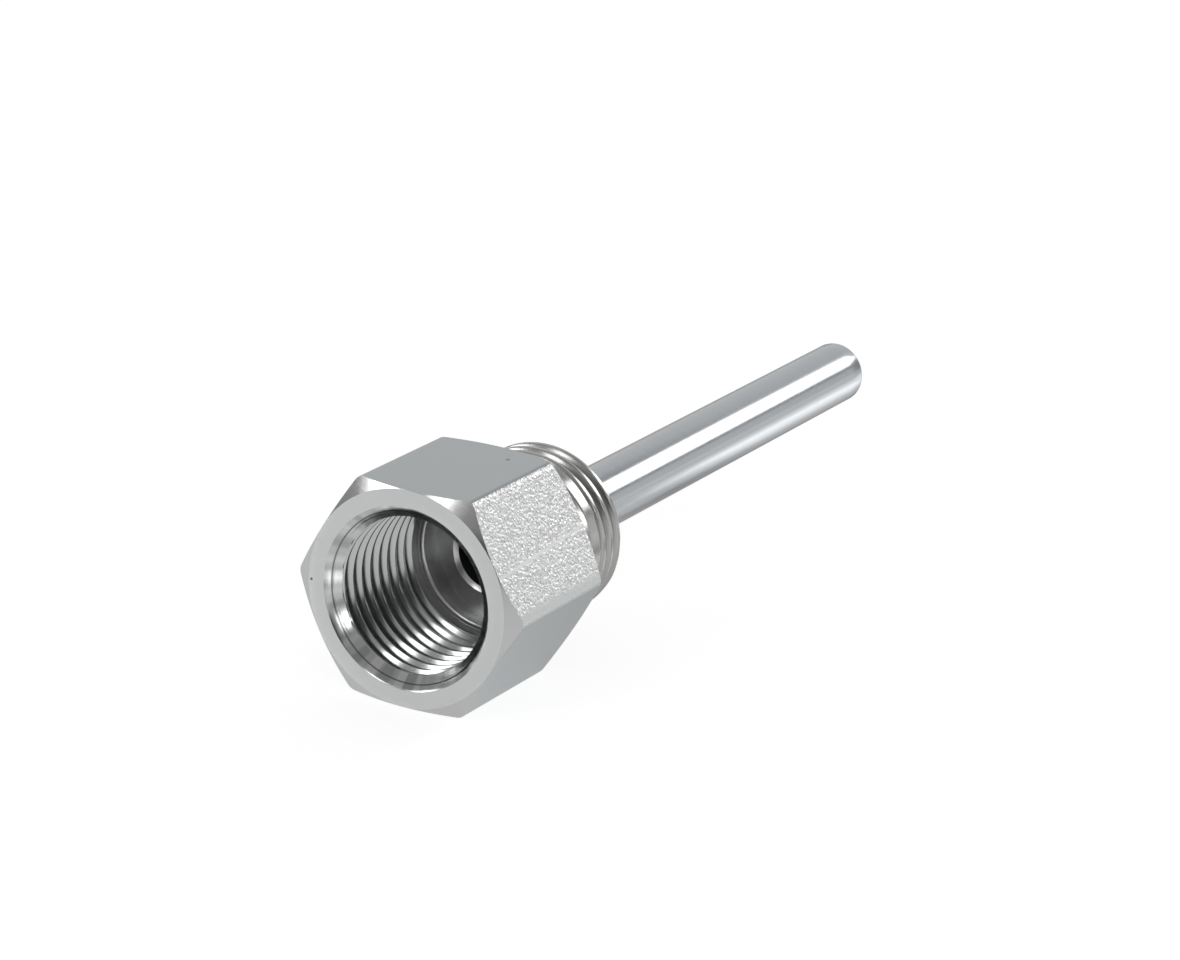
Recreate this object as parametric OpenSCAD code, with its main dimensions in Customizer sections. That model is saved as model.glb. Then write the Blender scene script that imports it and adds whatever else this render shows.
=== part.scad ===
// Thermowell turned from one hexagon bar: a hex head with an internal thread for the probe's gland,
// an external thread under the sealing shoulder, and a slim closed stem that holds the probe's tip.
// The well's axis is X. The origin is the middle of the sealing shoulder, and the closed tip is at +X.
// Two of the hexagon's flats are level, and the well lies on the lower one.

/* [Head] */
// Distance across the hexagon's flats
hex_af = 26; // [25.8:0.1:28]
// Length of the hexagon, from the mouth's face to the sealing shoulder
hex_len = 20; // [19.5:0.5:26]
// Radius along the hexagon's six edges
hex_edge_r = 0.5; // [0.2:0.1:1]
// Diameter at which the chamfer starts on the mouth's face
mouth_chamfer_d = 25.6; // [24:0.1:25.8]
// Diameter at which the chamfer starts on the shoulder
shoulder_chamfer_d = 25.2; // [24:0.1:25.8]
// Slope of both chamfers, up from the face
chamfer_angle = 30; // [20:1:45]

/* [Threads, both G 1/2] */
// Major diameter
major_d = 20.955; // [20.9:0.005:21]
// Minor diameter
minor_d = 18.631; // [18.6:0.001:19]
// Pitch
pitch = 1.814; // [1.8:0.001:1.85]
// Lean of each flank from square to the axis
flank_angle = 27.5; // [25:0.5:30]

/* [Socket] */
// Diameter of the mouth at the face
mouth_d = 21.75; // [21.2:0.05:21.8]
// Full angle of the countersink in the mouth
countersink_angle = 90; // [80:5:120]
// Depth from the face to the middle of the first thread groove
socket_thread_depth = 2.6; // [2.6:0.02:2.7]
// Number of thread grooves in the socket
socket_turns = 8; // [4:1:8]
// Depth from the face to the start of the relief behind the thread
relief_depth = 16.4; // [16.2:0.1:16.6]
// Diameter of the relief
relief_d = 21.2; // [21:0.1:21.6]
// Width of the relief
relief_len = 1.4; // [1:0.1:1.6]
// Depth from the face to the socket's floor
floor_depth = 18.3; // [18.2:0.1:19]
// Diameter of the wall that meets the floor
floor_d = 18.4; // [18:0.1:18.6]
// Radius between the floor and its wall
floor_r = 0.5; // [0.2:0.1:0.5]

/* [Probe bore] */
// Diameter of the chamfer's ring on the floor
ring_d = 9.6; // [9.6:0.1:11]
// Full angle of the chamfer
ring_angle = 120; // [90:5:130]
// Diameter of the guide bore under the floor
guide_d = 8.5; // [7:0.1:9]
// Depth from the face to the narrowing of the guide bore
guide_depth = 26; // [22:0.5:27]
// Diameter of the bore in the stem
bore_d = 6.2; // [4:0.1:6.6]
// Thickness of the closed tip, at the middle of the bore's end
tip_wall = 3; // [2:0.1:6]
// Full angle of the drills' points
drill_angle = 118; // [90:1:140]

/* [Process end] */
// Diameter of the neck behind the shoulder
neck_d = 18.8; // [18:0.1:19]
// Length of the neck
neck_len = 3.3; // [3:0.1:6]
// Length of the full-diameter land in front of the first groove
first_land = 2.8; // [0.3:0.1:3]
// Number of thread grooves on the process end
end_turns = 2; // [1:1:5]
// Length of the full-diameter land behind the last groove
last_land = 0.55; // [0.3:0.05:1.5]
// Size of the chamfer on the end face
end_chamfer = 0.3; // [0.2:0.1:1]
// Radius between the neck and the shoulder
neck_r = 0.4; // [0.2:0.1:1]

/* [Stem] */
// Diameter of the stem
stem_d = 8; // [8:0.1:12]
// Length from the shoulder to the tip
insertion = 89; // [40:1:250]
// Radius around the flat tip
tip_r = 0.6; // [0.2:0.1:1.5]
// Radius between the stem and the end face
root_r = 0.6; // [0.2:0.1:1]

/* [Hidden] */
$fn = 96;

STEEL = [0.74, 0.75, 0.75];
BEYOND = 1; // how far a cutter runs past the face it opens
mouth_x = -hex_len;
hex_corner = hex_af / sqrt(3); // centre to sharp corner
major_r = major_d / 2;
minor_r = minor_d / 2;
thread_depth = major_r - minor_r;
flank_run = thread_depth * tan(flank_angle);
flat_len = pitch / 2 - flank_run; // a crest's or a root's flat
full_x = neck_len + (major_d - neck_d) / 2; // where the neck's 45 degree ramp is at full diameter
end_groove_x = full_x + first_land + flank_run + flat_len / 2;
end_x = end_groove_x + (end_turns - 1) * pitch + flat_len / 2 + flank_run + last_land + end_chamfer;

// Solid of revolution about X from a drawing of [place along X, radius].
module turned() {
    rotate([0, 90, 0]) rotate_extrude() mirror([1, -1]) children();
}

// Drawing of the metal left in a right-angled corner by a cutter of radius r.
module corner_fillet(r) {
    difference() {
        square(r);
        translate([r, r]) circle(r);
    }
}

// Hexagon with an arc at each corner, and a corner on the drawing's X axis.
module rounded_hexagon() {
    trim = hex_edge_r / sqrt(3); // from the sharp corner to the arc's ends, along the flats
    polygon([
        for (a = [0:60:300], side = [-1, 1])
            hex_corner * [cos(a), sin(a)] + trim * [cos(a + side * 120), sin(a + side * 120)]
    ]);
    for (a = [0:60:300])
        rotate(a) translate([hex_corner - 2 * trim, 0]) circle(hex_edge_r);
}

// Hexagon bar with both ends chamfered.
module head() {
    outside = hex_corner + BEYOND;
    mouth_run = (outside - mouth_chamfer_d / 2) * tan(chamfer_angle);
    shoulder_run = (outside - shoulder_chamfer_d / 2) * tan(chamfer_angle);
    intersection() {
        translate([mouth_x, 0, 0]) rotate([0, 90, 0]) rotate(30)
            linear_extrude(hex_len) rounded_hexagon();
        turned() polygon([
            [mouth_x, 0],
            [mouth_x, mouth_chamfer_d / 2],
            [mouth_x + mouth_run, outside],
            [-shoulder_run, outside],
            [0, shoulder_chamfer_d / 2],
            [0, 0],
        ]);
    }
}

// Drawing of one thread groove that opens outwards, from the minor diameter to just past the major.
module outer_groove(x) {
    open = flank_run + flat_len / 2 + BEYOND * tan(flank_angle);
    translate([x, 0]) polygon([
        [-flat_len / 2, minor_r],
        [flat_len / 2, minor_r],
        [open, major_r + BEYOND],
        [-open, major_r + BEYOND],
    ]);
}

// Drawing of one thread groove that opens inwards, from the major diameter to just past the minor.
module inner_groove(x) {
    open = flank_run + flat_len / 2 + BEYOND * tan(flank_angle);
    translate([x, 0]) polygon([
        [-open, minor_r - BEYOND],
        [open, minor_r - BEYOND],
        [flat_len / 2, major_r],
        [-flat_len / 2, major_r],
    ]);
}

// Neck, ramp, external thread and end face, with the fillets at both ends.
module process_end() {
    turned() difference() {
        union() {
            polygon([
                [-BEYOND, 0],
                [-BEYOND, neck_d / 2],
                [neck_len, neck_d / 2],
                [full_x, major_r],
                [end_x - end_chamfer, major_r],
                [end_x, major_r - end_chamfer],
                [end_x, 0],
            ]);
            translate([-BEYOND, 0]) square([BEYOND, neck_d / 2 + neck_r]);
            translate([0, neck_d / 2]) corner_fillet(neck_r);
            translate([end_x, stem_d / 2]) corner_fillet(root_r);
        }
        for (i = [0:end_turns - 1])
            outer_groove(end_groove_x + i * pitch);
    }
}

// Plain stem with a rounded edge on its flat tip.
module stem() {
    turned() {
        square([insertion - tip_r, stem_d / 2]);
        square([insertion, stem_d / 2 - tip_r]);
        translate([insertion - tip_r, stem_d / 2 - tip_r]) intersection() {
            circle(tip_r);
            square(tip_r);
        }
    }
}

// Everything bored out of the bar, from the mouth to the closed tip.
module bores() {
    point = tan(90 - drill_angle / 2); // length of a drill's point over its radius
    relief_x = mouth_x + relief_depth;
    relief_end = relief_x + relief_len;
    floor_x = mouth_x + floor_depth;
    guide_end = mouth_x + guide_depth;
    bore_end = insertion - tip_wall;
    turned() difference() {
        union() {
            polygon([
                [mouth_x - BEYOND, 0],
                [mouth_x - BEYOND, mouth_d / 2],
                [mouth_x, mouth_d / 2],
                [mouth_x + (mouth_d / 2 - minor_r) / tan(countersink_angle / 2), minor_r],
                [relief_x, minor_r],
                [relief_x + (relief_d / 2 - minor_r) * tan(flank_angle), relief_d / 2],
                [relief_end, relief_d / 2],
                [relief_end, floor_d / 2],
                [floor_x, floor_d / 2],
                [floor_x, ring_d / 2],
                [floor_x + (ring_d - guide_d) / 2 / tan(ring_angle / 2), guide_d / 2],
                [guide_end, guide_d / 2],
                [guide_end + (guide_d - bore_d) / 2 * point, bore_d / 2],
                [bore_end - bore_d / 2 * point, bore_d / 2],
                [bore_end, 0],
            ]);
            for (i = [0:socket_turns - 1])
                inner_groove(mouth_x + socket_thread_depth + i * pitch);
        }
        translate([floor_x, floor_d / 2]) rotate(180) corner_fillet(floor_r);
    }
}

module thermowell() {
    color(STEEL) difference() {
        union() {
            head();
            process_end();
            stem();
        }
        bores();
    }
}

thermowell();
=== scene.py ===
import math

import bmesh
import bpy
import numpy as np
from mathutils import Matrix, Vector


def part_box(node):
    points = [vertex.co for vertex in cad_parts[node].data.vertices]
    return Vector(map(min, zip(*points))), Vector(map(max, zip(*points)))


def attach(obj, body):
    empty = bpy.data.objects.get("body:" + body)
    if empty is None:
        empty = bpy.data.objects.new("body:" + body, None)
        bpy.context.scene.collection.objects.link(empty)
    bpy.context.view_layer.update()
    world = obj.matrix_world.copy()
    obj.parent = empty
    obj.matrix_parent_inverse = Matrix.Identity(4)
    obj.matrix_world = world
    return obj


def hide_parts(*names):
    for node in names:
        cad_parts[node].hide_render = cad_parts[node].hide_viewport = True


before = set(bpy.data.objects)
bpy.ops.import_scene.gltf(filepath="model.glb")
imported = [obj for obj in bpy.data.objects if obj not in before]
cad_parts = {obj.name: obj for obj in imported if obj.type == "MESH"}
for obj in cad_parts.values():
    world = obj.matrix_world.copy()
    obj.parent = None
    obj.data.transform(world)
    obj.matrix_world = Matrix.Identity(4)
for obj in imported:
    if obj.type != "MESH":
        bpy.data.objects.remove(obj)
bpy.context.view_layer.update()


# ---------------------------------------------------------------------------------------------
# The well. One piece of stainless steel, turned from hexagon bar: a head with a tapped socket,
# a neck and an external thread behind it, and a slim closed stem, all drilled from the mouth.
# Lengths are in millimetres from the shoulder, and angles run from the top towards -Y.

MM = 0.001
low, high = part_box("thermowell")
MOUTH_X, TIP_X = low.x / MM, high.x / MM
ACROSS_FLATS = (high.z - low.z) / MM
EDGE_ROUNDING = 1.1      # along the hexagon's edges, as the bar is drawn
PITCH = 1.814            # of both threads, which are G 1/2
MAJOR, MINOR = 10.4775, 9.3155      # their major and minor radii
FLANK_LEAN = math.tan(math.radians(27.5))
ROOT = PITCH / 2 - (MAJOR - MINOR) * FLANK_LEAN      # width of a groove's bottom


def angles_round_axis():
    """One turn of angles, from one edge of the hexagon on, closer together over each rounded edge."""
    half_edge = 2.3
    edge = np.array([-half_edge, -1.55, -0.8, 0.0, 0.8, 1.55])
    flat = np.linspace(half_edge, 60 - half_edge, 34, endpoint=False)
    sixth = np.concatenate([edge, flat])
    turn = np.concatenate([sixth + 60 * k for k in range(6)])
    return np.radians(np.append(turn, turn[0] + 360) - 30)


turn = angles_round_axis()


def hexagon_radius(angle):
    """Distance from the axis to the bar's side: half the width over flats divided by the cosine of
    the angle from the flat's middle, or an arc's polar equation within the rounded edges."""
    off_flat = (angle + math.pi / 6) % (math.pi / 3) - math.pi / 6
    off_edge = angle % (math.pi / 3) - math.pi / 6
    arc_centre = ACROSS_FLATS / math.sqrt(3) - 2 * EDGE_ROUNDING / math.sqrt(3)
    arc_end = math.atan2(EDGE_ROUNDING / 2, arc_centre + EDGE_ROUNDING * math.cos(math.pi / 6))
    flat = ACROSS_FLATS / 2 / np.cos(off_flat)
    under = np.maximum(EDGE_ROUNDING**2 - (arc_centre * np.sin(off_edge)) ** 2, 0)
    arc = arc_centre * np.cos(off_edge) + np.sqrt(under)
    return np.where(np.abs(off_edge) < arc_end, arc, flat)


def rounded(corners, steps=4):
    """Rows of a drawing whose corners are (place along the axis, radius, rounding). A corner with a
    rounding becomes an arc tangent to both sides: points between its ends are turned about its
    centre by equal angles. Each value may be an array over the angles round the axis."""
    def unit(v):
        return v / np.linalg.norm(v, axis=-1, keepdims=True)

    points = [np.stack([x + 0 * turn, r + 0 * turn], -1) for x, r, _ in corners]
    rows = []
    for k, (_, _, size) in enumerate(corners):
        if not size:
            rows.append(points[k])
            continue
        back, ahead = unit(points[k - 1] - points[k]), unit(points[k + 1] - points[k])
        half = np.arccos(np.clip((back * ahead).sum(-1, keepdims=True), -1, 1)) / 2
        centre = points[k] + unit(back + ahead) * size / np.sin(half)
        first = points[k] + back * size / np.tan(half) - centre
        last = points[k] + ahead * size / np.tan(half) - centre
        bend = math.pi - 2 * half
        for t in np.linspace(0, 1, steps + 1):
            arm = (np.sin((1 - t) * bend) * first + np.sin(t * bend) * last) / np.sin(bend)
            rows.append(centre + arm)
    return rows


def thread_form(top, bottom, crest_rounding, root_rounding):
    """(place from the groove's middle, radius) over one pitch of a 55 degree thread, from its top
    to its bottom radius, with its crests and roots rounded, and points no further apart than a
    longest step."""
    longest = 0.22
    run = abs(top - bottom) * FLANK_LEAN
    half_root = ROOT / 2
    outline = [
        (-PITCH / 2, top, 0),
        (-half_root - run, top, crest_rounding),
        (-half_root, bottom, root_rounding),
        (half_root, bottom, root_rounding),
        (half_root + run, top, crest_rounding),
        (PITCH / 2, top, 0),
    ]
    form = np.array([row[0] for row in rounded(outline, steps=3)])
    between = [form[:1]]
    for a, b in zip(form[:-1], form[1:]):
        parts = max(1, round(math.hypot(*(b - a)) / longest))
        between.append(a + (b - a) * np.arange(1, parts + 1)[:, None] / parts)
    return np.concatenate(between)


def along(places):
    """Radius by place along the axis, on straight lines between (place, radius) points."""
    places = np.array(places)
    return lambda x: np.interp(x, places[:, 0], places[:, 1])


def thread_rows(form, groove_x, start, end, least, most):
    """Rows that follow the helix: each point of the form moves along the axis by one pitch a turn,
    and is held between start and end. Its radius is the form's, held between the least and most."""
    first = math.floor((start - groove_x) / PITCH) - 2
    last = math.ceil((end - groove_x) / PITCH) + 2
    rows = []
    for k in range(first, last):
        for place, _ in form[:-1]:
            x = np.clip(groove_x + (k + turn / (2 * math.pi)) * PITCH + place, start, end)
            phase = (x - groove_x - turn / (2 * math.pi) * PITCH + PITCH / 2) % PITCH - PITCH / 2
            radius = np.interp(phase, form[:, 0], form[:, 1])
            rows.append(np.stack([x, np.maximum(least(x), np.minimum(most(x), radius))], -1))
    return rows


# Finishes, by their number in the mesh's list of materials.
DRAWN, FACED, TURNED, TAPPED, BORED, BLASTED, SUNK, SOCKET_FLOOR, COARSE, THREADED = range(10)

side = hexagon_radius(turn)
CHAMFER = math.tan(math.radians(30))     # of the hexagon's corners, and of the ring round the bore
DRILL_POINT = 0.6009                     # length of a 118 degree drill's point, by its radius
PROBE_BORE, TIP_WALL = 3.1, 3.0
GUIDE_BORE, GUIDE_END = 4.25, 6.0
FLOOR_X, RING, FLOOR_WALL = -1.7, 4.8, 9.2
RELIEF, RELIEF_START = 10.6, -3.6
RELIEF_FLANK_END = -2.931                # the flank leans as the thread's do

# From the drill point at the tip to the relief behind the internal thread.
bore = rounded([
    (TIP_X - TIP_WALL, 0, 0),
    (TIP_X - TIP_WALL - PROBE_BORE * DRILL_POINT, PROBE_BORE, 0),
    (TIP_X - 20, PROBE_BORE, 0),
    (TIP_X - 60, PROBE_BORE, 0),
    (GUIDE_END + (GUIDE_BORE - PROBE_BORE) * DRILL_POINT, PROBE_BORE, 0),
    (GUIDE_END, GUIDE_BORE, 0),
    (1.0, GUIDE_BORE, 0),
    (FLOOR_X + (RING - GUIDE_BORE) * CHAMFER, GUIDE_BORE, 0.05),
    (FLOOR_X, RING, 0.06),
    (FLOOR_X, 7.2, 0),
    (FLOOR_X, FLOOR_WALL, 0.5),
    (FLOOR_X - 0.5, FLOOR_WALL, 0.05),
    (FLOOR_X - 0.5, RELIEF, 0.3),
    (-3.0, RELIEF, 0),
])

# The internal thread. Its grooves fade out in the 45 degree countersink, a little below its cone.
COUNTERSINK = 10.875     # radius at the face
SINK_END = MOUTH_X + COUNTERSINK - MINOR
THREAD_START = MOUTH_X + 0.6
socket = thread_rows(
    thread_form(MINOR, MAJOR, crest_rounding=0.05, root_rounding=0.2),
    groove_x=-16.613, start=THREAD_START, end=RELIEF_FLANK_END,
    least=along([(MOUTH_X, COUNTERSINK), (SINK_END, MINOR), (RELIEF_START, MINOR),
                 (RELIEF_FLANK_END, RELIEF)]),
    most=along([(THREAD_START, COUNTERSINK - 0.6), (-19.24, 10.16), (-19.0, 9.9), (-18.44, 9.36),
                (-17.9, MAJOR), (RELIEF_START, MAJOR), (RELIEF_FLANK_END, RELIEF)]),
)[::-1]

# The face and the hexagon, from the countersink to the neck.
FACE, SHOULDER = 12.97, 12.6     # radii of the two end faces, inside their chamfers
mouth = rounded([
    (THREAD_START, COUNTERSINK - 0.6, 0),
    (MOUTH_X + 0.1, COUNTERSINK - 0.1, 0),
    (MOUTH_X, COUNTERSINK + 0.09, 0.03),
    (MOUTH_X, 11.8, 0),
    (MOUTH_X, FACE, 0.05),
    (MOUTH_X + (side - FACE) * CHAMFER, side, 0),
], steps=3)
flats = rounded([
    (MOUTH_X + (side - FACE) * CHAMFER + 0.05, side, 0),
    (-15.5, side, 0),
    (-10, side, 0),
    (-5, side, 0),
    (-(side - SHOULDER) * CHAMFER - 0.05, side, 0),
    (-(side - SHOULDER) * CHAMFER, side, 0),
])
NECK, RAMP_X = 9.4, 3.3
shoulder = rounded([
    (-(side - SHOULDER) * CHAMFER, side, 0),
    (0, SHOULDER, 0.06),
    (0, 11.2, 0),
    (0, NECK, 0.4),
    (1.2, NECK, 0),
    (RAMP_X, NECK, 0),
], steps=3)

# The external thread starts behind a 45 degree ramp and a land, and its first groove deepens
# gradually. The grooves are a little shallower than the standard's, so that the crests look as
# broad as the real ones.
GROOVE_DEPTH = 0.86
LAND_X = RAMP_X + MAJOR - NECK
END_X, END_CHAMFER = 11.3534, 0.3
process_thread = thread_rows(
    thread_form(MAJOR, MAJOR - GROOVE_DEPTH, crest_rounding=0.08, root_rounding=0.12),
    groove_x=7.754, start=RAMP_X, end=END_X,
    least=along([(RAMP_X, NECK), (LAND_X, MAJOR), (6.2, MAJOR), (7.3, MINOR)]),
    most=along([(RAMP_X, NECK), (LAND_X, MAJOR), (END_X - END_CHAMFER, MAJOR), (END_X, MAJOR - END_CHAMFER)]),
)
STEM = 4.0
stem = rounded([
    (END_X, process_thread[-1][:, 1], 0),
    (END_X, 7.0, 0),
    (END_X, STEM, 0.6),
    (14, STEM, 0),
    (30, STEM, 0),
    (50, STEM, 0),
    (70, STEM, 0),
    (TIP_X - 3, STEM, 0),
    (TIP_X, STEM, 0.3),
    (TIP_X, 1.8, 0),
    (TIP_X, 0, 0),
])

# A finish runs from its first row to the next finish. The bore's first 7 rows are drilled, and the
# mouth has 2 rows in the countersink and 8 over the face and its edges before the chamfer.
runs = [
    (bore[:7], BORED), (bore[7:], SOCKET_FLOOR), (socket, TAPPED),
    (mouth[:2], SUNK), (mouth[2:10], FACED), (mouth[10:], COARSE),
    (flats, DRAWN), (shoulder, THREADED), (process_thread, THREADED), (stem, TURNED),
]
grid = np.array([row for rows, _ in runs for row in rows])
finish = np.array([f for rows, f in runs for _ in rows])
rows, columns = grid.shape[:2]
x, r = grid[..., 0], grid[..., 1]
vertices = np.stack([x, -r * np.sin(turn), r * np.cos(turn)], -1).reshape(-1, 3) * MM
i, j = np.meshgrid(np.arange(rows - 1), np.arange(columns - 1), indexing="ij")
corner = i * columns + j
faces = np.stack([corner, corner + 1, corner + columns + 1, corner + columns], -1).reshape(-1, 4)
middle = (turn[:-1] + turn[1:]) / 2
on_right = np.abs((middle - math.radians(60) + math.pi) % (2 * math.pi) - math.pi) < math.pi / 6
finish = np.where((finish[:-1, None] == DRAWN) & on_right, BLASTED, finish[:-1, None])

# Faces between the grooves that lie on the countersink's cone have its finish.
radius_of_face = (r[:-1, :-1] + r[1:, 1:]) / 2
place_of_face = (x[:-1, :-1] + x[1:, 1:]) / 2
on_cone = radius_of_face > COUNTERSINK + MOUTH_X - place_of_face - 0.03
finish[(finish == TAPPED) & on_cone & (place_of_face < SINK_END - 0.0595)] = SUNK
finish = finish.ravel()

mesh = bpy.data.meshes.new("thermowell_body")
mesh.from_pydata(vertices.tolist(), [], faces.tolist())
mesh.polygons.foreach_set("material_index", finish.astype(np.int32))
shell = bmesh.new()
shell.from_mesh(mesh)
bmesh.ops.remove_doubles(shell, verts=shell.verts, dist=0.0002 * MM)
bmesh.ops.dissolve_degenerate(shell, edges=shell.edges, dist=0.00001 * MM)
bmesh.ops.recalc_face_normals(shell, faces=shell.faces)
shell.to_mesh(mesh)
shell.free()
mesh.shade_smooth()
mesh.set_sharp_from_angle(angle=math.radians(28))
well = bpy.data.objects.new("thermowell_body", mesh)
bpy.context.collection.objects.link(well)
weighted = well.modifiers.new("Flat faces keep their normals", "WEIGHTED_NORMAL")
weighted.keep_sharp = True


def linear(hex_colour):
    """The linear colour of an sRGB hex value."""
    s = np.array([int(hex_colour[k:k + 2], 16) for k in (1, 3, 5)]) / 255
    return (*np.where(s <= 0.04045, s / 12.92, ((s + 0.055) / 1.055) ** 2.4), 1.0)


def add(tree, kind, **given):
    """Adds a node. Names in small letters are its settings. The others are its inputs, with _ for a
    space, or i and the input's number, and each takes a value, or the node or socket that feeds it."""
    node = tree.nodes.new("ShaderNode" + kind)
    for name, value in given.items():
        if hasattr(node, name):
            setattr(node, name, value)
            continue
        target = node.inputs[int(name[1:]) if name[1:].isdigit() else name.replace("_", " ")]
        source = value.outputs[0] if isinstance(value, bpy.types.Node) else value
        if isinstance(source, bpy.types.NodeSocket):
            tree.links.new(source, target)
        else:
            target.default_value = source
    return node


def metal(name, colour, roughness):
    """A bare stainless finish: a metal of one tone, and the nodes that its marks are added to."""
    material = bpy.data.materials.new(name)
    material.use_nodes = True
    tree = material.node_tree
    bsdf = tree.nodes["Principled BSDF"]
    bsdf.inputs["Metallic"].default_value = 1.0
    bsdf.inputs["Base Color"].default_value = linear(colour)
    bsdf.inputs["Roughness"].default_value = roughness
    return material, tree, bsdf


def tool_marks(tree, bsdf, roughness, per_mm, depth, streak):
    """Rings that a lathe tool leaves. They follow the sum of the place along the axis and the
    radius, so they run round walls, faces and flanks alike. They tilt the surface by a little and
    vary its roughness."""
    place = add(tree, "TexCoord")
    parts = add(tree, "SeparateXYZ", Vector=place.outputs["Object"])
    square_y = add(tree, "Math", operation="POWER", i0=parts.outputs["Y"], i1=2.0)
    square_z = add(tree, "Math", operation="POWER", i0=parts.outputs["Z"], i1=2.0)
    square = add(tree, "Math", operation="ADD", i0=square_y, i1=square_z)
    radius = add(tree, "Math", operation="SQRT", i0=square)
    reach = add(tree, "Math", operation="ADD", i0=parts.outputs["X"], i1=radius)
    ring = add(tree, "Math", operation="MULTIPLY", i0=reach, i1=per_mm / MM)
    fine = add(tree, "TexNoise", noise_dimensions="1D", Scale=1.0, Detail=3.0, Roughness=0.65, W=ring)
    coarse = add(tree, "TexNoise", noise_dimensions="1D", Scale=0.13, Detail=1.0, W=ring)
    spread = add(tree, "Math", operation="ADD", i0=coarse, i1=-0.5)
    rough = add(tree, "Math", operation="MULTIPLY_ADD", i0=spread, i1=streak, i2=roughness)
    tree.links.new(rough.outputs[0], bsdf.inputs["Roughness"])
    bump = add(tree, "Bump", Strength=1.0, Distance=depth * MM, Height=fine)
    tree.links.new(bump.outputs["Normal"], bsdf.inputs["Normal"])
    return place


def speck(tree, bsdf, place, colour, centre, size):
    """A small dark pit at one place, given in millimetres, in a metal of the given colour."""
    pit = [c * MM for c in centre]
    away = add(tree, "VectorMath", operation="DISTANCE", i0=place.outputs["Object"], i1=pit)
    inside = add(tree, "MapRange", From_Min=size * 0.5 * MM, From_Max=size * MM, To_Min=1.0, To_Max=0.0,
                 Value=away.outputs["Value"])
    tone = add(tree, "Mix", data_type="RGBA", i0=inside, i6=linear(colour), i7=linear("#666666"))
    tree.links.new(tone.outputs[2], bsdf.inputs["Base Color"])


# Cold-drawn bar, lightly polished: fine lines along the flats, and one small pit on the top. The
# lines are drawn about ten times as coarse as real ones, so that they show.
drawn, tree, bsdf = metal("drawn_stainless", "#C0C5C7", 0.28)
place = add(tree, "TexCoord")
stretch = add(tree, "Mapping", Vector=place.outputs["Object"], Scale=(0.04 / MM, 2.6 / MM, 2.6 / MM))
lines = add(tree, "TexNoise", Scale=1.0, Detail=3.0, Vector=stretch)
bump = add(tree, "Bump", Strength=0.7, Distance=0.01 * MM, Height=lines)
tree.links.new(bump.outputs["Normal"], bsdf.inputs["Normal"])
speck(tree, bsdf, place, "#C0C5C7", (-3.7, -3.07, 13.0), 0.3)

# Faces cut square to the axis, with rings from the facing tool.
faced, tree, bsdf = metal("faced_stainless", "#D8DADA", 0.36)
place = tool_marks(tree, bsdf, 0.36, 9.0, 0.0035, 0.12)
speck(tree, bsdf, place, "#D8DADA", (-20.0, 12.6, -0.4), 0.22)

# The socket's floor and the ring round the bore, cut by the end of a boring tool.
socket_floor, tree, bsdf = metal("spot_faced_stainless", "#DADAD9", 0.24)
tool_marks(tree, bsdf, 0.24, 5.0, 0.003, 0.2)

# The countersink. Its tool trembled, and the smeared light and dark that this leaves on its cone is
# painted as lighter and darker patches that follow each other round it: painted reflections. A fine
# step runs round it where a second cut ended, with a painted dark line along it as its shade.
STEP_X = -19.38
sunk, tree, bsdf = metal("countersunk_stainless", "#C3C5C5", 0.2)
place = tool_marks(tree, bsdf, 0.2, 3.5, 0.006, 0.15)
parts = add(tree, "SeparateXYZ", Vector=place.outputs["Object"])
round_axis = add(tree, "Math", operation="ARCTAN2", i0=parts.outputs["Y"], i1=parts.outputs["Z"])
# Painted reflections: lighter and darker patches round the axis.
painted_reflection_noise = add(tree, "TexNoise", noise_dimensions="1D", Scale=5.0, Detail=1.0, W=round_axis)
painted_reflection_patches = add(tree, "MapRange", From_Min=0.35, From_Max=0.68, Value=painted_reflection_noise)
tone = add(tree, "Mix", data_type="RGBA", i0=painted_reflection_patches, i6=linear("#B2B4B4"), i7=linear("#E2E2E2"))
# Painted shade: a dark line along the step.
from_step = add(tree, "Math", operation="MULTIPLY_ADD", i0=parts.outputs["X"], i1=1 / MM, i2=-STEP_X)
gap = add(tree, "Math", operation="ABSOLUTE", i0=from_step)
painted_step_shade = add(tree, "MapRange", From_Min=0.04, From_Max=0.1, To_Min=0.8, To_Max=0.0, Value=gap)
sink_painted_light_and_shade = add(tree, "Mix", data_type="RGBA", i0=painted_step_shade, i6=tone.outputs[2], i7=linear("#5C5E5E"))
tree.links.new(sink_painted_light_and_shade.outputs[2], bsdf.inputs["Base Color"])

# The stem, turned and then polished.
turned, tree, bsdf = metal("turned_stainless", "#C1C5C8", 0.18)
tool_marks(tree, bsdf, 0.18, 7.0, 0.0012, 0.10)

# The neck and the external thread, cut with a chaser: darker than the stem, and less polished.
threaded, tree, bsdf = metal("chased_stainless", "#BCBCBA", 0.22)
tool_marks(tree, bsdf, 0.22, 7.0, 0.0025, 0.12)

# The chamfers on the hexagon's corners, turned a little coarser than the stem.
coarse, tree, bsdf = metal("coarse_turned_stainless", "#CBCCCB", 0.2)
tool_marks(tree, bsdf, 0.2, 7.0, 0.002, 0.12)

# The internal thread, cut with a tap.
tapped, tree, bsdf = metal("tapped_stainless", "#CACCCC", 0.17)
tool_marks(tree, bsdf, 0.17, 9.0, 0.001, 0.08)

# Drilled walls, left as the drill cut them.
bored, tree, bsdf = metal("bored_stainless", "#7E8080", 0.35)
tool_marks(tree, bsdf, 0.35, 4.0, 0.006, 0.2)
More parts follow.
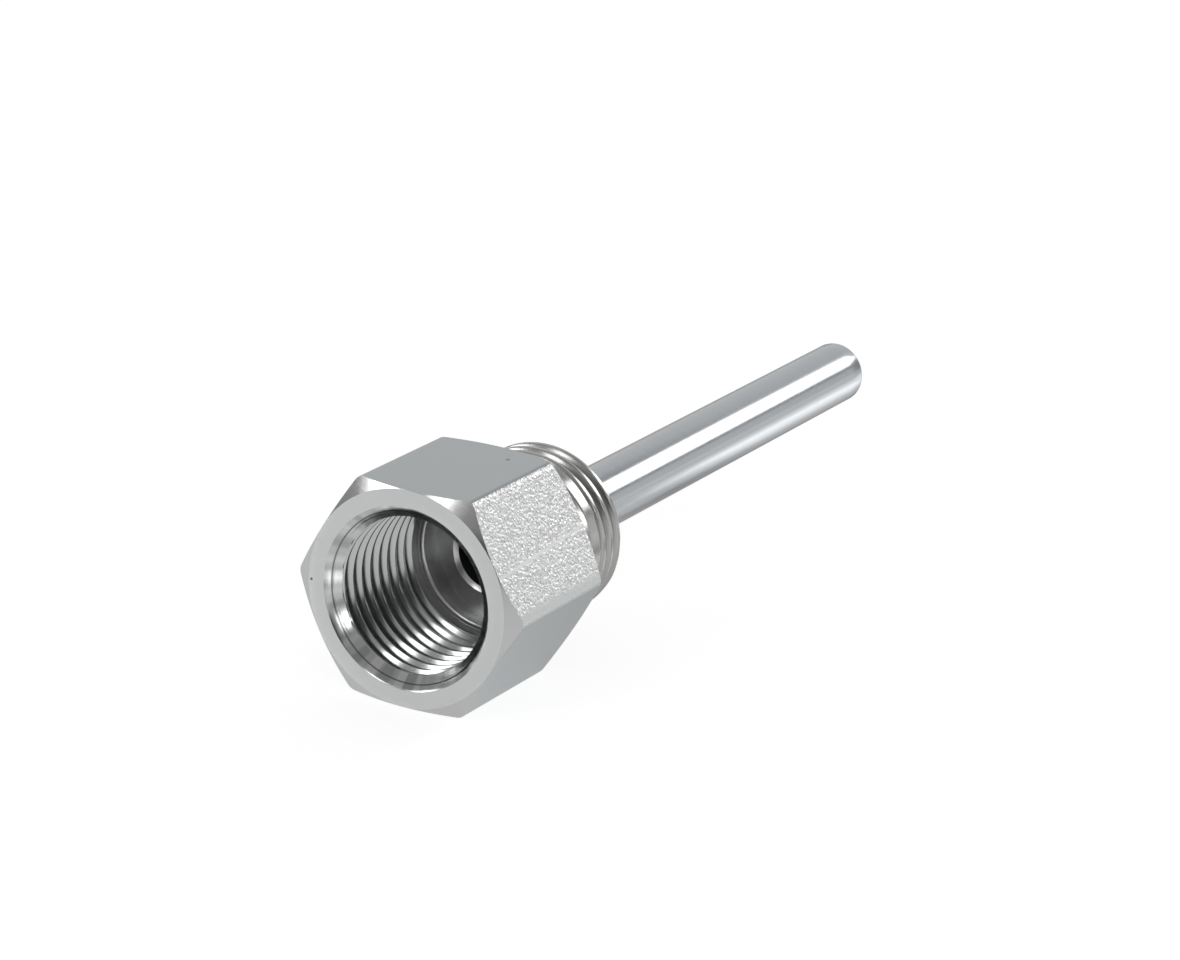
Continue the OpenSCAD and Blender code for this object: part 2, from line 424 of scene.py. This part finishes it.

# One flat blasted with glass beads: a bright grain, drawn coarser than real beads leave it, so that
# it shows, with bright spots in its colour that are painted glints of the beads' dimples. It fades
# out in a smooth strip along the lower edge, and a thin line runs along the flat.
blasted, tree, bsdf = metal("blasted_stainless", "#E6E8E6", 0.4)
place = add(tree, "TexCoord")
DOWN_Y, DOWN_Z = -math.cos(math.radians(60)), -math.sin(math.radians(60))
LINE_SLOPE, LINE_PLACE = 0.049, -0.597     # along the flat, and down it above the shoulder
down = add(tree, "VectorMath", operation="DOT_PRODUCT", i0=place.outputs["Object"],
           i1=(0, DOWN_Y / MM, DOWN_Z / MM))
line = add(tree, "VectorMath", operation="DOT_PRODUCT", i0=place.outputs["Object"],
           i1=(LINE_SLOPE / MM, DOWN_Y / MM, DOWN_Z / MM))
from_line = add(tree, "Math", operation="ADD", i0=line.outputs["Value"], i1=LINE_PLACE)
gap = add(tree, "Math", operation="ABSOLUTE", i0=from_line)
on_line = add(tree, "MapRange", From_Min=0.1, From_Max=0.3, To_Min=1.0, To_Max=0.0, Value=gap)
in_strip = add(tree, "MapRange", From_Min=5.8, From_Max=6.5, Value=down.outputs["Value"])
calm = add(tree, "Math", operation="MAXIMUM", i0=in_strip, i1=on_line)
grain = add(tree, "TexNoise", Scale=2.3 / MM, Detail=2.0, Roughness=0.6, Vector=place.outputs["Object"])
pits = add(tree, "TexVoronoi", Scale=2.6 / MM, Vector=place.outputs["Object"])
# Painted glints: bright spots in the grain's colour.
painted_glint_spots = add(tree, "MapRange", From_Min=0.36, From_Max=0.6, Value=grain)
grain_with_painted_glints = add(tree, "Mix", data_type="RGBA", i0=painted_glint_spots, i6=linear("#DFE1E0"), i7=linear("#FFFFFF"))
smooth = add(tree, "Mix", data_type="RGBA", i0=in_strip, i6=grain_with_painted_glints.outputs[2], i7=linear("#ECEEED"))
tone = add(tree, "Mix", data_type="RGBA", i0=on_line, i6=smooth.outputs[2], i7=linear("#FFFFFF"))
tree.links.new(tone.outputs[2], bsdf.inputs["Base Color"])
shallow = add(tree, "Math", operation="MULTIPLY", i0=pits, i1=0.5)
relief = add(tree, "Math", operation="ADD", i0=grain, i1=shallow)
strength = add(tree, "Math", operation="MULTIPLY_ADD", i0=calm, i1=-0.85, i2=1.0)
bump = add(tree, "Bump", Distance=0.11 * MM, Height=relief, Strength=strength)
tree.links.new(bump.outputs["Normal"], bsdf.inputs["Normal"])

for material in (drawn, faced, turned, tapped, bored, blasted, sunk, socket_floor, coarse, threaded):
    mesh.materials.append(material)
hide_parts("thermowell")
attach(well, "root")


# ---------------------------------------------------------------------------------------------
# Floor. A pale level sheet that the well lies on, by its lower flat. To the camera it is white with
# the well's soft shadow. In the metal it shows a painted glow: darker towards the tip, as painted
# shade of the floor by the stem, with a painted bright stretch of light in front of the stem.

floor_mesh = bpy.data.meshes.new("floor")
HALF = 3.0
floor_mesh.from_pydata(
    [(-HALF, -HALF, low.z), (HALF, -HALF, low.z), (HALF, HALF, low.z), (-HALF, HALF, low.z)],
    [], [(0, 1, 2, 3)])
floor = bpy.data.objects.new("floor", floor_mesh)
bpy.context.collection.objects.link(floor)
white = bpy.data.materials.new("white_floor")
white.use_nodes = True
tree = white.node_tree
tree.nodes.clear()
PALE, WHITE = linear("#BBBBBB"), linear("#FFFFFF")
rays = add(tree, "LightPath")
gloss = add(tree, "BsdfPrincipled", Base_Color=PALE, Roughness=0.1)
plain = add(tree, "BsdfDiffuse", Color=PALE)
body = add(tree, "MixShader", i0=rays.outputs["Is Camera Ray"], i1=gloss, i2=plain)
place = add(tree, "TexCoord")
parts = add(tree, "SeparateXYZ", Vector=place.outputs["Object"])
# Painted reflection: glossy rays see the floor glow, dimmer towards the tip as painted shade, and brighter in
# a painted stretch of light in front of the stem.
painted_floor_shade_towards_tip = add(tree, "MapRange", From_Min=-0.02, From_Max=0.08, To_Min=0.52, To_Max=0.02, Value=parts.outputs["X"])
near = add(tree, "MapRange", From_Min=0.004, From_Max=-0.016, To_Max=0.9, Value=parts.outputs["Y"])
away = add(tree, "MapRange", From_Min=-0.045, From_Max=-0.026, To_Min=0.3, Value=parts.outputs["Y"])
beside_stem = add(tree, "MapRange", From_Min=0.055, From_Max=0.08, Value=parts.outputs["X"])
stretch = add(tree, "Math", operation="MULTIPLY", i0=near, i1=away)
painted_light_before_stem = add(tree, "Math", operation="MULTIPLY", i0=stretch, i1=beside_stem)
painted_floor_glow = add(tree, "Math", operation="ADD", i0=painted_floor_shade_towards_tip, i1=painted_light_before_stem)
to_camera = add(tree, "Math", operation="MULTIPLY", i0=rays.outputs["Is Camera Ray"], i1=0.8)
painted_glow_to_metal = add(tree, "Math", operation="MULTIPLY", i0=rays.outputs["Is Glossy Ray"], i1=painted_floor_glow)
bright = add(tree, "Math", operation="ADD", i0=to_camera, i1=painted_glow_to_metal)
shine = add(tree, "Emission", Color=WHITE, Strength=bright)
seen = add(tree, "AddShader", i0=body, i1=shine)
add(tree, "OutputMaterial", Surface=seen)
floor_mesh.materials.append(white)


# ---------------------------------------------------------------------------------------------
# Studio. A pale room, four soft boxes, two wide boards that are lit weakly, and a black card. They
# are placed round the well by azimuth from +X and by height above the floor, in degrees.

world = bpy.data.worlds.new("pale_room")
bpy.context.scene.world = world
world.use_nodes = True
tree = world.node_tree
tree.nodes.clear()
room = add(tree, "Background", Color=WHITE, Strength=0.32)
add(tree, "OutputWorld", Surface=room)


def facing_well(azimuths, heights, distance):
    """Puts a thing midway between two azimuths and two heights, turned towards the well."""
    a, e = (math.radians(sum(span) / 2) for span in (azimuths, heights))
    back = Vector((math.cos(a) * math.cos(e), math.sin(a) * math.cos(e), math.sin(e)))
    return Matrix.Translation(back * distance) @ back.to_track_quat("Z", "Y").to_matrix().to_4x4()


def soft_box(name, azimuths, heights, distance, brightness):
    """A rectangular lamp that fills the angles between two azimuths and two heights. Its brightness
    is its radiance, at which 1 would look white."""
    wide, tall = (math.radians(span[1] - span[0]) / 2 for span in (azimuths, heights))
    level = math.cos(math.radians(sum(heights) / 2))
    data = bpy.data.lights.new(name, "AREA")
    data.shape = "RECTANGLE"
    data.size = 2 * distance * math.tan(wide * level)
    data.size_y = 2 * distance * math.tan(tall)
    data.energy = brightness * math.pi * data.size * data.size_y
    lamp = bpy.data.objects.new(name, data)
    bpy.context.collection.objects.link(lamp)
    lamp.matrix_world = facing_well(azimuths, heights, distance)


def black_card(azimuths, heights, distance):
    """A dark sheet that fills the angles between two azimuths and two heights."""
    wide, tall = (distance * math.tan(math.radians(span[1] - span[0]) / 2) for span in (azimuths, heights))
    sheet = bpy.data.meshes.new("black_card")
    sheet.from_pydata([(-wide, -tall, 0), (wide, -tall, 0), (wide, tall, 0), (-wide, tall, 0)],
                      [], [(0, 1, 2, 3)])
    black = bpy.data.materials.new("black_card")
    black.use_nodes = True
    bsdf = black.node_tree.nodes["Principled BSDF"]
    bsdf.inputs["Base Color"].default_value = linear("#585858")
    bsdf.inputs["Roughness"].default_value = 0.9
    sheet.materials.append(black)
    card = bpy.data.objects.new("black_card", sheet)
    bpy.context.collection.objects.link(card)
    card.matrix_world = facing_well(azimuths, heights, distance)


black_card((186, 212), (1, 20), 0.9)
soft_box("back_right_box", (-31, -9.8), (16.0, 33), 1.1, 3.4)
soft_box("left_box", (122, 141), (18, 29), 1.1, 4.0)
soft_box("front_left_box", (159.5, 173), (24, 36.5), 1.1, 3.2)
soft_box("right_box", (225, 242), (13, 26), 1.1, 4.0)
soft_box("back_board", (-7.5, 60), (1, 36), 1.2, 0.35)
soft_box("right_board", (-95, -25), (0, 13), 1.3, 0.38)


# ---------------------------------------------------------------------------------------------
# Camera. A long lens on the mouth's side, a little above the floor and turned slightly about its
# own axis. It aims just above the well's axis, a quarter of the way from the shoulder to the tip.

LENS, SENSOR = 130.13, 36.0
AIM = Vector((0.0219, 0.0, 0.0029))
DISTANCE, AZIMUTH, ELEVATION, ROLL = 0.5152, -151.43, 18.94, 3.324
view = bpy.data.cameras.new("camera")
view.lens, view.sensor_width, view.sensor_fit = LENS, SENSOR, "HORIZONTAL"
view.clip_start, view.clip_end = 0.01, 20.0
camera = bpy.data.objects.new("camera", view)
bpy.context.collection.objects.link(camera)
camera.matrix_world = (
    Matrix.Translation(AIM)
    @ Matrix.Rotation(math.radians(AZIMUTH + 90), 4, "Z")
    @ Matrix.Rotation(math.radians(90 - ELEVATION), 4, "X")
    @ Matrix.Rotation(math.radians(ROLL), 4, "Z")
    @ Matrix.Translation((0, 0, DISTANCE)))
bpy.context.scene.camera = camera
bpy.context.scene.view_settings.view_transform = "Standard"
